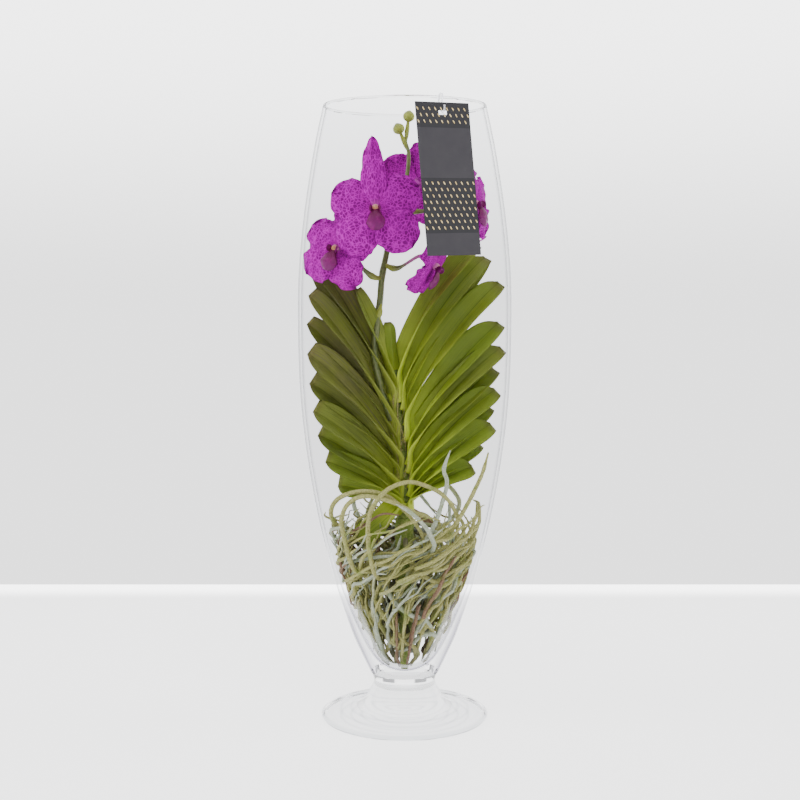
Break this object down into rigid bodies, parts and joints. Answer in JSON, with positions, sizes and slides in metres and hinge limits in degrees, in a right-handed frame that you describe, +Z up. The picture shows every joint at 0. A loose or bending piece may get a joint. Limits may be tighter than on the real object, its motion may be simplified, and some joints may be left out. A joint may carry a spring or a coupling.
{
  "type": "vanda orchid in footed glass vase",
  "caption": "Vanda orchid with strap leaves, magenta blooms and bare silvery roots, standing in a tall footed clear glass vase with a hanging card tag.",
  "frame": {"origin": "centre of the flat underside of the vase's foot", "axes": "+Z up along the vase's axis; -Y is the front, which the picture faces; +X is to the right seen from the front"},
  "size_m": [0.208, 0.2115, 0.6027],
  "materials": {
    "glass": "clear polished, thick at the neck and foot",
    "leaf": "satin strap leaf, mid green to olive, with fine lengthwise veins",
    "spike": "satin green to brown flower stalk and yellow-green buds",
    "petal": "soft velvety magenta with a paler tessellated net",
    "lip": "satin dark crimson lip with a pale pink column",
    "root": "matte spongy silver, khaki and green aerial root",
    "card": "satin charcoal card with bands of small gold marks",
    "clear_plastic": "clear glossy plastic"
  },
  "bodies": {
    "root": {"vase": "glass", "leafy_stem": "leaf", "flower_spike": "spike", "bloom_1": "petal", "bloom_2": "petal", "bloom_3": "petal", "bloom_4": "petal", "bloom_5": "petal", "bloom_1_lip": "lip", "bloom_2_lip": "lip", "bloom_3_lip": "lip", "bloom_4_lip": "lip", "bloom_5_lip": "lip", "roots": "root", "tag_card": "card", "tag_hook": "clear_plastic"}
  },
  "joints": []
}
